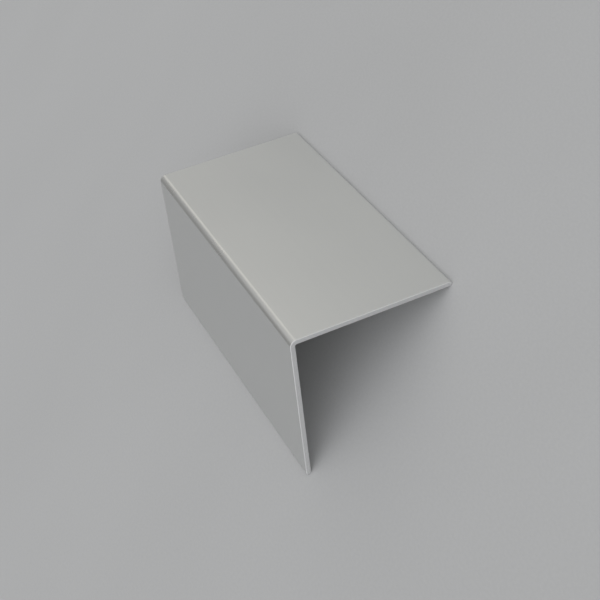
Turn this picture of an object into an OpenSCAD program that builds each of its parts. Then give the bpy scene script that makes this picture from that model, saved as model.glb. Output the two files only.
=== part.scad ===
// Extruded aluminium angle: one length of equal-leg stock with plain legs, one wall all round its
// rounded corner, fully rounded toes and sawn, deburred ends. It lies ridge up, both toes on the floor.
// Origin on the floor, midway between the toes and between the ends. +Y runs along the length.

/* [Section] */
// Outer width of the leg on the +X side
leg_a = 50; // [15:1:120]
// Outer width of the leg on the -X side
leg_b = 50; // [15:1:120]
// Wall thickness of both legs and of the corner
wall = 1.5; // [1:0.1:6]
// Radius inside the corner
fillet_r = 0.5; // [0.2:0.1:3]

/* [Length] */
// Length of the sawn piece
length = 100; // [20:1:2000]
// Width of the edge break that deburring leaves round each sawn end
edge_break = 0.2; // [0.05:0.05:0.25]

/* [Hidden] */
$fn = 96;

// A toe is a half round as thick as the wall
toe_r = wall / 2;

// Radius along the ridge: the wall goes round the corner at one thickness
ridge_r = wall + fillet_r;

// Lean of the section that puts both toes on the floor
lean = atan2(leg_b - wall, leg_a - wall);

// The section is drawn with the outer corner at the origin, leg A along +X and leg B along +Y.
// The length runs along +Z from the first sawn end.

// Outline of a wall of the given depth along the length, with its four end corners broken
function broken_outline(depth) = [
    [edge_break, 0],
    [depth - edge_break, 0],
    [depth, edge_break],
    [depth, length - edge_break],
    [depth - edge_break, length],
    [edge_break, length],
    [0, length - edge_break],
    [0, edge_break],
];

// Round bar along the length, its end rims broken like the walls
module rod(r) {
    rotate_extrude()
        intersection() {
            translate([-r, 0]) polygon(broken_outline(2 * r));
            square([r, length]);
        }
}

// Round bar that cuts an inside corner: its ends flare by the edge break
module flared_rod(r) {
    rotate_extrude()
        polygon([
            [0, 0],
            [r + edge_break, 0],
            [r, edge_break],
            [r, length - edge_break],
            [r + edge_break, length],
            [0, length],
        ]);
}

// One flat leg along +X, from the corner to its rounded toe
module leg(width) {
    flat = width - ridge_r - toe_r;
    translate([ridge_r, 0, 0])
        rotate([90, 0, 90])
            linear_extrude(flat) polygon(broken_outline(wall));
    translate([width - toe_r, toe_r, 0]) rod(toe_r);
}

// Quarter ring that joins the legs: the ridge outside and the fillet inside share one axis
module corner() {
    difference() {
        intersection() {
            translate([ridge_r, ridge_r, 0]) rod(ridge_r);
            cube([ridge_r, ridge_r, length]);
        }
        translate([ridge_r, ridge_r, 0]) flared_rod(fillet_r);
    }
}

// The whole extrusion, in its section frame
module stock() {
    leg(leg_a);
    mirror([1, -1, 0]) leg(leg_b);
    corner();
}

// The extrusion as it rests on the floor, ridge up
module angle() {
    color("silver")
        translate([0, 0, toe_r])
            rotate([0, lean, 0])
                translate([-leg_a / 2, -length / 2, leg_b / 2])
                    rotate([-90, 0, 0]) stock();
}

angle();
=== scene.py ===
import math

import bpy
from mathutils import Matrix, Quaternion, Vector


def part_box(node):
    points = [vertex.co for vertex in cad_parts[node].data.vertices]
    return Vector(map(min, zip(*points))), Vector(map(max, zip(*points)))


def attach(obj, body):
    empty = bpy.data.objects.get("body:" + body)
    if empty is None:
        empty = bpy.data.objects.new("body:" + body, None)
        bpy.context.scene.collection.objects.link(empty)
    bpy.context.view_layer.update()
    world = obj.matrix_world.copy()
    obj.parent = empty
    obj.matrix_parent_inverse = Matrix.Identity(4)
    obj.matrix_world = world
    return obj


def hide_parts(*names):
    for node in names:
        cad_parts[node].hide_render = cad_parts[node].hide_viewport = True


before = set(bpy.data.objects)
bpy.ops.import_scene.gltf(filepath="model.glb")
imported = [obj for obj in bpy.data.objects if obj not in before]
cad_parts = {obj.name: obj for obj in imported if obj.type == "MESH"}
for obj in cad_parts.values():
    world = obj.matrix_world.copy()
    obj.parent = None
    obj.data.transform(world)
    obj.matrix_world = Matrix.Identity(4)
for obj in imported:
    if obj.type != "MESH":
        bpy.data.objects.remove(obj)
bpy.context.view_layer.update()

# Angle
# One length of equal angle, extruded in a soft aluminium alloy: two flat legs of one wall meet at a
# rounded ridge, and both toes are half round. The long bar is etched and clear anodised before it is
# sawn, so its skin is satin and the two ends are bare metal with a broken rim.
LEAN = math.radians(45)
WALL = 0.0015
FILLET_RADIUS = 0.0005
RIDGE_RADIUS = WALL + FILLET_RADIUS
EDGE_BREAK = 0.0002
ARC_STEPS = 10
RIM_STEPS = 3
RIM_ANGLE = math.radians(60)
WELD_DISTANCE = 0.000002

low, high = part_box("angle")
length = high.y - low.y
leg = (high.x - low.x - WALL) / math.sqrt(2) + WALL


def shader(name):
    """A new node material, its tree and its surface shader."""
    material = bpy.data.materials.new(name)
    material.use_nodes = True
    tree = material.node_tree
    return material, tree, tree.nodes["Principled BSDF"]


def metal(name):
    """A new metal, its tree and its surface shader."""
    material, tree, surface = shader(name)
    surface.inputs["Metallic"].default_value = 1.0
    return material, tree, surface


def node(tree, kind, **settings):
    """One node of a tree with its properties set."""
    made = tree.nodes.new(kind)
    for key, value in settings.items():
        setattr(made, key, value)
    return made


def grain(tree, scale, detail):
    """Noise over a piece, with its own scale per metre along X, Y and Z."""
    place = node(tree, "ShaderNodeTexCoord")
    stretch = node(tree, "ShaderNodeMapping")
    stretch.inputs["Scale"].default_value = scale
    noise = node(tree, "ShaderNodeTexNoise")
    noise.inputs["Scale"].default_value = 1.0
    noise.inputs["Detail"].default_value = detail
    tree.links.new(place.outputs["Object"], stretch.inputs["Vector"])
    tree.links.new(stretch.outputs["Vector"], noise.inputs["Vector"])
    return noise.outputs["Fac"]


# Noise mostly lies between these two values
NOISE_LOW = 0.3
NOISE_HIGH = 0.7


def spread(tree, noise, limits):
    """A noise value spread between two limits."""
    span = node(tree, "ShaderNodeMapRange")
    span.inputs["From Min"].default_value = NOISE_LOW
    span.inputs["From Max"].default_value = NOISE_HIGH
    span.inputs["To Min"].default_value, span.inputs["To Max"].default_value = limits
    tree.links.new(noise, span.inputs["Value"])
    return span.outputs["Result"]


def ramp(tree, value, start, end):
    """A soft step from 0 to 1 between two values."""
    step = node(tree, "ShaderNodeMapRange", interpolation_type="SMOOTHSTEP")
    step.inputs["From Min"].default_value = start
    step.inputs["From Max"].default_value = end
    tree.links.new(value, step.inputs["Value"])
    return step.outputs["Result"]


def joined(tree, operation, first, second):
    """A math node over two values."""
    step = node(tree, "ShaderNodeMath", operation=operation)
    tree.links.new(first, step.inputs[0])
    tree.links.new(second, step.inputs[1])
    return step.outputs["Value"]


def blend(tree, factor, first, second):
    """A colour between two, by a factor. The first is a colour or the output of another node."""
    mix = node(tree, "ShaderNodeMix", data_type="RGBA")
    if isinstance(first, bpy.types.NodeSocket):
        tree.links.new(first, mix.inputs["A"])
    else:
        mix.inputs["A"].default_value = first
    mix.inputs["B"].default_value = second
    tree.links.new(factor, mix.inputs["Factor"])
    return mix.outputs["Result"]


def relief(tree, height, strength, depth, under=None):
    """A bump of the given depth in metres, over another one where there is one."""
    bump = node(tree, "ShaderNodeBump")
    bump.inputs["Strength"].default_value = strength
    bump.inputs["Distance"].default_value = depth
    tree.links.new(height, bump.inputs["Height"])
    if under is not None:
        tree.links.new(under, bump.inputs["Normal"])
    return bump.outputs["Normal"]


RUBBED_BAND = 0.0012
PATCH_SCALE = (240, 90, 240)
PATCH_WEAR = (0.2, 1.0)


def rubbed(tree):
    """Patchy wear from 0 to 1 where hands and shelves rub the bar: along its ridge and its two toes."""
    place = node(tree, "ShaderNodeTexCoord")
    height = node(tree, "ShaderNodeSeparateXYZ")
    tree.links.new(place.outputs["Object"], height.inputs["Vector"])
    ridge = ramp(tree, height.outputs["Z"], high.z - RUBBED_BAND, high.z)
    toes = ramp(tree, height.outputs["Z"], RUBBED_BAND, 0.0)
    patches = spread(tree, grain(tree, PATCH_SCALE, detail=3), PATCH_WEAR)
    return joined(tree, "MULTIPLY", joined(tree, "ADD", ridge, toes), patches)


DIE_LINE_SCALE = (2600, 6, 2600)
DIE_LINE_DEPTH = 0.00002
ETCH_SCALE = (8000, 8000, 8000)
ETCH_DEPTH = 0.000008
ETCH_TINT = (0.0, 0.3)
CLOUD_SCALE = (45, 25, 45)
CLOUD_TINT = (0.1, 0.5)
STREAK_SCALE = (800, 4, 800)
STREAK_TINT = (0.0, 0.2)
SKIN_DARK = (0.76, 0.765, 0.76, 1)
SKIN_PALE = (0.79, 0.795, 0.785, 1)
SKIN_WORN = (0.81, 0.81, 0.80, 1)
SKIN_ROUGHNESS = (0.31, 0.36)
SKIN_BUMP = 0.5
POLISH = 0.06


def satin_skin():
    """Etched and clear anodised skin: fine die lines along the bar under a soft matte grain."""
    material, tree, surface = metal("satin_anodised_skin")
    die_lines = grain(tree, DIE_LINE_SCALE, detail=3)
    etch = grain(tree, ETCH_SCALE, detail=2)
    cloud = grain(tree, CLOUD_SCALE, detail=2)
    streaks = grain(tree, STREAK_SCALE, detail=2)
    wear = rubbed(tree)
    fine_tint = joined(tree, "ADD", spread(tree, streaks, STREAK_TINT), spread(tree, etch, ETCH_TINT))
    mottling = joined(tree, "ADD", spread(tree, cloud, CLOUD_TINT), fine_tint)
    tint = blend(tree, mottling, SKIN_DARK, SKIN_PALE)
    tree.links.new(blend(tree, wear, tint, SKIN_WORN), surface.inputs["Base Color"])
    polish = node(tree, "ShaderNodeMapRange")
    polish.inputs["To Max"].default_value = POLISH
    tree.links.new(wear, polish.inputs["Value"])
    matte = spread(tree, cloud, SKIN_ROUGHNESS)
    roughness = joined(tree, "SUBTRACT", matte, polish.outputs["Result"])
    tree.links.new(roughness, surface.inputs["Roughness"])
    lines = relief(tree, die_lines, SKIN_BUMP, DIE_LINE_DEPTH)
    tree.links.new(relief(tree, etch, SKIN_BUMP, ETCH_DEPTH, lines), surface.inputs["Normal"])
    return material


SAW_MARK_SCALE = (700, 700, 7000)
SAW_MARK_DEPTH = 0.00003
SAW_MARK_TINT = (0.0, 1.0)
SAWN_DARK = (0.80, 0.80, 0.80, 1)
SAWN_PALE = (0.88, 0.88, 0.88, 1)
SAWN_ROUGHNESS = (0.38, 0.48)
SAWN_BUMP = 0.6


def sawn_metal():
    """Bare sawn metal: brighter than the skin, with fine straight marks from the saw."""
    material, tree, surface = metal("bare_sawn_end")
    marks = grain(tree, SAW_MARK_SCALE, detail=2)
    tint = blend(tree, spread(tree, marks, SAW_MARK_TINT), SAWN_DARK, SAWN_PALE)
    tree.links.new(tint, surface.inputs["Base Color"])
    tree.links.new(spread(tree, marks, SAWN_ROUGHNESS), surface.inputs["Roughness"])
    tree.links.new(relief(tree, marks, SAWN_BUMP, SAW_MARK_DEPTH), surface.inputs["Normal"])
    return material


SCUFF_SCALE = (4000, 4000, 4000)
FILED_DARK = (0.76, 0.76, 0.755, 1)
FILED_PALE = (0.88, 0.88, 0.875, 1)
FILED_ROUGHNESS = (0.42, 0.52)


def filed_metal():
    """Bare metal of the broken rims: rougher than the skin, scuffed all ways by the file."""
    material, tree, surface = metal("filed_rim")
    scuffs = grain(tree, SCUFF_SCALE, detail=3)
    tree.links.new(blend(tree, scuffs, FILED_DARK, FILED_PALE), surface.inputs["Base Color"])
    tree.links.new(spread(tree, scuffs, FILED_ROUGHNESS), surface.inputs["Roughness"])
    return material


def angle_tree():
    """Geometry Nodes for the bar: the outline of the section, rounded, filled and drawn out along +Z."""
    tree = bpy.data.node_groups.new("drawn_angle", "GeometryNodeTree")
    for name in ("Leg", "Wall", "Length", "Ridge Radius", "Fillet Radius"):
        tree.interface.new_socket(name, in_out="INPUT", socket_type="NodeSocketFloat")
    tree.interface.new_socket("Arc Steps", in_out="INPUT", socket_type="NodeSocketInt")
    for name in ("Skin", "Sawn End"):
        tree.interface.new_socket(name, in_out="INPUT", socket_type="NodeSocketMaterial")
    tree.interface.new_socket("Geometry", in_out="OUTPUT", socket_type="NodeSocketGeometry")
    given = node(tree, "NodeGroupInput").outputs
    link = tree.links.new

    half_wall = node(tree, "ShaderNodeMath", operation="MULTIPLY")
    half_wall.inputs[1].default_value = 0.5
    link(given["Wall"], half_wall.inputs[0])
    toe_radius = half_wall.outputs["Value"]
    corners = (
        (None, None, given["Ridge Radius"]),
        (given["Leg"], None, toe_radius),
        (given["Leg"], given["Wall"], toe_radius),
        (given["Wall"], given["Wall"], given["Fillet Radius"]),
        (given["Wall"], given["Leg"], toe_radius),
        (None, given["Leg"], toe_radius),
    )
    index = node(tree, "GeometryNodeInputIndex").outputs["Index"]
    places = node(tree, "GeometryNodeIndexSwitch", data_type="VECTOR")
    radii = node(tree, "GeometryNodeIndexSwitch", data_type="FLOAT")
    for switch in (places, radii):
        while len(switch.index_switch_items) < len(corners):
            switch.index_switch_items.new()
        link(index, switch.inputs["Index"])
    for number, (across_a, across_b, radius) in enumerate(corners):
        place = node(tree, "ShaderNodeCombineXYZ")
        if across_a:
            link(across_a, place.inputs["X"])
        if across_b:
            link(across_b, place.inputs["Y"])
        link(place.outputs["Vector"], places.inputs[1 + number])
        link(radius, radii.inputs[1 + number])

    outline = node(tree, "GeometryNodeCurvePrimitiveCircle")
    outline.inputs["Resolution"].default_value = len(corners)
    square = node(tree, "GeometryNodeSetPosition")
    rounded = node(tree, "GeometryNodeFilletCurve", mode="POLY")
    rounded.inputs["Limit Radius"].default_value = True
    section = node(tree, "GeometryNodeFillCurve", mode="NGONS")
    link(outline.outputs["Curve"], square.inputs["Geometry"])
    link(places.outputs["Output"], square.inputs["Position"])
    link(square.outputs["Geometry"], rounded.inputs["Curve"])
    link(given["Arc Steps"], rounded.inputs["Count"])
    link(radii.outputs["Output"], rounded.inputs["Radius"])
    link(rounded.outputs["Curve"], section.inputs["Curve"])

    along = node(tree, "ShaderNodeCombineXYZ")
    drawn = node(tree, "GeometryNodeExtrudeMesh", mode="FACES")
    drawn.inputs["Individual"].default_value = False
    drawn.inputs["Offset Scale"].default_value = 1.0
    first_end = node(tree, "GeometryNodeFlipFaces")
    whole = node(tree, "GeometryNodeJoinGeometry")
    closed = node(tree, "GeometryNodeMergeByDistance")
    closed.inputs["Distance"].default_value = WELD_DISTANCE
    link(given["Length"], along.inputs["Z"])
    link(section.outputs["Mesh"], drawn.inputs["Mesh"])
    link(along.outputs["Vector"], drawn.inputs["Offset"])
    link(section.outputs["Mesh"], first_end.inputs["Mesh"])
    link(drawn.outputs["Mesh"], whole.inputs["Geometry"])
    link(first_end.outputs["Mesh"], whole.inputs["Geometry"])
    link(whole.outputs["Geometry"], closed.inputs["Geometry"])

    real = node(tree, "GeometryNodeRealizeInstances")
    bare = node(tree, "GeometryNodeSetMaterial")
    skinned = node(tree, "GeometryNodeSetMaterial")
    result = node(tree, "NodeGroupOutput")
    link(closed.outputs["Geometry"], real.inputs["Geometry"])
    link(real.outputs["Geometry"], bare.inputs["Geometry"])
    link(given["Sawn End"], bare.inputs["Material"])
    link(bare.outputs["Geometry"], skinned.inputs["Geometry"])
    link(drawn.outputs["Side"], skinned.inputs["Selection"])
    link(given["Skin"], skinned.inputs["Material"])
    link(skinned.outputs["Geometry"], result.inputs["Geometry"])
    return tree


def set_inputs(modifier, values):
    """Sets a Geometry Nodes modifier's inputs by their sockets' identifiers."""
    for socket in modifier.node_group.interface.items_tree:
        if socket.name in values:
            modifier[socket.identifier] = values[socket.name]


drawing = bpy.data.objects.new("drawing", bpy.data.meshes.new("drawing"))
bpy.context.collection.objects.link(drawing)
draw = drawing.modifiers.new("Draw", "NODES")
draw.node_group = angle_tree()
set_inputs(
    draw,
    {
        "Leg": leg,
        "Wall": WALL,
        "Length": length,
        "Ridge Radius": RIDGE_RADIUS,
        "Fillet Radius": FILLET_RADIUS,
        "Arc Steps": ARC_STEPS,
        "Skin": satin_skin(),
        "Sawn End": sawn_metal(),
    },
)
rim = drawing.modifiers.new("Rim", "BEVEL")
rim.limit_method = "ANGLE"
rim.angle_limit = RIM_ANGLE
rim.width = EDGE_BREAK
rim.segments = RIM_STEPS

ready = drawing.evaluated_get(bpy.context.evaluated_depsgraph_get())
bar_mesh = bpy.data.meshes.new_from_object(ready)
bpy.data.objects.remove(drawing)

# The section is drawn with its ridge at the origin, so the bar is laid down with both toes on the floor
bar_mesh.transform(
    Matrix.Translation((0, 0, WALL / 2))
    @ Matrix.Rotation(LEAN, 4, "Y")
    @ Matrix.Translation((-leg / 2, low.y, leg / 2))
    @ Matrix.Rotation(-math.pi / 2, 4, "X")
)
bar_mesh.polygons.foreach_set("use_smooth", [True] * len(bar_mesh.polygons))

# Along Y, the normal of a rim's face lies between those of the bar's sides and of its ends
SIDE_NORMAL = 0.1
END_NORMAL = 0.99

bar_mesh.materials.append(filed_metal())
filed_slot = len(bar_mesh.materials) - 1
for face in bar_mesh.polygons:
    if SIDE_NORMAL < abs(face.normal.y) < END_NORMAL:
        face.material_index = filed_slot

# The wide faces rule the normals, so that the legs and the ends look flat up to their rims
FLAT_WEIGHT = 100

angle_bar = bpy.data.objects.new("angle_bar", bar_mesh)
bpy.context.collection.objects.link(angle_bar)
flat_faces = angle_bar.modifiers.new("Flat faces", "WEIGHTED_NORMAL")
flat_faces.weight = FLAT_WEIGHT
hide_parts("angle")
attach(angle_bar, "root")

# Floor
# A wide sheet of pale grey card that the bar lies on. It is one flat plane, and its material gives it a
# fine fibre grain and faint soft clouding.
FLOOR_SIDE = 12.0
FIBRE_SCALE = (1400, 900, 1)
FIBRE_TINT = (0.0, 0.6)
CLOUDING_SCALE = (9, 16, 1)
CLOUDING_TINT = (0.0, 0.4)
CARD_DARK = (0.513, 0.515, 0.519, 1)
CARD_PALE = (0.546, 0.548, 0.553, 1)
CARD_ROUGHNESS = 0.9

bpy.ops.mesh.primitive_plane_add(size=FLOOR_SIDE)
floor = bpy.context.object
floor.name = "floor"
card, card_tree, card_surface = shader("pale_card")
fibres = spread(card_tree, grain(card_tree, FIBRE_SCALE, detail=2), FIBRE_TINT)
clouding = spread(card_tree, grain(card_tree, CLOUDING_SCALE, detail=2), CLOUDING_TINT)
card_tint = blend(card_tree, joined(card_tree, "ADD", fibres, clouding), CARD_DARK, CARD_PALE)
card_tree.links.new(card_tint, card_surface.inputs["Base Color"])
card_surface.inputs["Roughness"].default_value = CARD_ROUGHNESS
floor.data.materials.append(card)

# Studio light
# A plain room with dim walls, lighter on the right, under a pale ceiling. A broad soft glow fills its
# front, and two weak lamps draw the edges: a low one on the left and a warm one at the back right.
LEFT_WALL = (0.265, 0.265, 0.26, 1)
RIGHT_WALL = (0.45, 0.455, 0.45, 1)
CEILING = (0.74, 0.74, 0.73, 1)
GLOW = (0.98, 0.99, 1.0, 1)
GLOW_AZIMUTH = 8
GLOW_ELEVATION = 34
COOL_LIGHT = (0.93, 0.965, 1.0)
WARM_LIGHT = (1.0, 0.96, 0.86)
LAMP_DISTANCE = 1.5

# Ends of the soft changes in the room, as parts of a unit direction
LEFT_WALL_END = -0.3
RIGHT_WALL_START = 0.8
WALL_TOP = 0.5
CEILING_EDGE = 0.88
GLOW_EDGE = 0.1
GLOW_MIDDLE = 1.0


def toward(azimuth, elevation):
    """The direction from the bar at an azimuth and an elevation in degrees."""
    turn = math.radians(azimuth)
    rise = math.radians(elevation)
    level = math.cos(rise)
    return Vector((math.sin(turn) * level, -math.cos(turn) * level, math.sin(rise)))


def soft_lamp(name, azimuth, elevation, size, watts, colour):
    """A soft area lamp aimed at the bar."""
    lamp = bpy.data.objects.new(name, bpy.data.lights.new(name, "AREA"))
    lamp.data.shape = "RECTANGLE"
    lamp.data.size, lamp.data.size_y = size
    lamp.data.energy = watts
    lamp.data.color = colour
    out = toward(azimuth, elevation)
    lamp.location = out * LAMP_DISTANCE
    lamp.rotation_mode = "QUATERNION"
    lamp.rotation_quaternion = (-out).to_track_quat("-Z", "Y")
    bpy.context.collection.objects.link(lamp)


soft_lamp("left_lamp", azimuth=288, elevation=12, size=(1.4, 0.7), watts=3.2, colour=COOL_LIGHT)
soft_lamp("back_lamp", azimuth=146, elevation=27, size=(1.0, 0.6), watts=0.61, colour=WARM_LIGHT)

room = bpy.data.worlds.new("room")
room.use_nodes = True
room_tree = room.node_tree
direction = node(room_tree, "ShaderNodeTexCoord").outputs["Generated"]
part = node(room_tree, "ShaderNodeSeparateXYZ")
room_tree.links.new(direction, part.inputs["Vector"])
nearness = node(room_tree, "ShaderNodeVectorMath", operation="DOT_PRODUCT")
nearness.inputs[1].default_value = toward(GLOW_AZIMUTH, GLOW_ELEVATION)
room_tree.links.new(direction, nearness.inputs[0])
across = ramp(room_tree, part.outputs["X"], LEFT_WALL_END, RIGHT_WALL_START)
climb = ramp(room_tree, part.outputs["Z"], WALL_TOP, CEILING_EDGE)
gain = ramp(room_tree, nearness.outputs["Value"], GLOW_EDGE, GLOW_MIDDLE)
walls = blend(room_tree, across, LEFT_WALL, RIGHT_WALL)
shell = blend(room_tree, climb, walls, CEILING)
lit_room = blend(room_tree, gain, shell, GLOW)
room_tree.links.new(lit_room, room_tree.nodes["Background"].inputs["Color"])
bpy.context.scene.world = room
bpy.context.scene.view_settings.view_transform = "Standard"

# Camera
# The view looks down on the ridge from the front, and is rolled until the left leg stands upright in
# the picture.
CAMERA_AZIMUTH = 16.64
CAMERA_ELEVATION = 39.27
CAMERA_ROLL = math.radians(65.11)
CAMERA_DISTANCE = 0.37367
CAMERA_AIM = Vector((-0.00029, -0.00919, 0.00697))
CAMERA_LENS = 73.57
CAMERA_SENSOR = 36

camera = bpy.data.objects.new("camera", bpy.data.cameras.new("camera"))
camera.data.sensor_width = CAMERA_SENSOR
camera.data.lens = CAMERA_LENS
backward = toward(CAMERA_AZIMUTH, CAMERA_ELEVATION)
camera.location = CAMERA_AIM + backward * CAMERA_DISTANCE
camera.rotation_mode = "QUATERNION"
level_view = (-backward).to_track_quat("-Z", "Y")
camera.rotation_quaternion = level_view @ Quaternion((0, 0, 1), -CAMERA_ROLL)
bpy.context.collection.objects.link(camera)
bpy.context.scene.camera = camera
